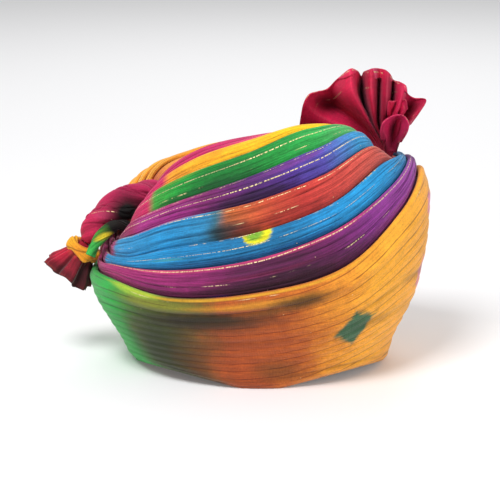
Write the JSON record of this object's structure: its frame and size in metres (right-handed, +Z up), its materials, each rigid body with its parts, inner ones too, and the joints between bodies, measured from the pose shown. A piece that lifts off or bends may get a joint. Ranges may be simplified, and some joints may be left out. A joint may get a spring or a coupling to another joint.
{
  "type": "tied turban",
  "caption": "Ready-tied dyed turban: deep wound head band, side wraps that lap like shingles, twisted roll and knot at the back, short tail and upright pleated fan.",
  "frame": {"origin": "middle of the whole part in plan, at the level of the lowest point of the rim", "axes": "+X to the wearer's front, where the fan stands, +Y to the far side, away from the side where the wraps spread open, +Z up"},
  "size_m": [0.326, 0.24, 0.2503],
  "materials": {
    "lining_cap": "plain woven cotton, matt",
    "head_band": "tie-dyed cotton, orange, rust and green, with gold thread lines",
    "wound_core": "dyed cotton in folds, matt",
    "wrap_purple": "tie-dyed cotton, magenta to purple, gold thread at the fold",
    "wrap_blue": "tie-dyed cotton, bright blue with a yellow-green spot, gold thread lines",
    "wrap_coral": "tie-dyed cotton, blue to coral red, gold thread lines",
    "wrap_violet": "tie-dyed cotton, magenta, violet and blue, gold thread lines",
    "wrap_green": "tie-dyed cotton, green with red dots, gold thread lines",
    "wrap_marigold": "tie-dyed cotton, marigold yellow, soft sheen",
    "wrap_magenta": "tie-dyed cotton, magenta and orange, soft sheen",
    "back_roll": "tie-dyed cotton, magenta, twisted in deep creases",
    "back_strand": "tie-dyed cotton, green and yellow, twisted",
    "knot": "tie-dyed cotton, orange, bound tight",
    "tail": "dyed cotton, crimson, gathered",
    "fan": "dyed cotton, crimson, starched pleats with gold thread flecks"
  },
  "bodies": {
    "root": {"lining_cap": "lining_cap", "head_band": "head_band", "wound_core": "wound_core", "wrap_purple": "wrap_purple", "wrap_blue": "wrap_blue", "wrap_coral": "wrap_coral", "wrap_violet": "wrap_violet", "wrap_green": "wrap_green", "wrap_marigold": "wrap_marigold", "wrap_magenta": "wrap_magenta", "back_roll": "back_roll", "back_strand": "back_strand", "knot": "knot", "tail": "tail", "fan": "fan"}
  },
  "joints": []
}
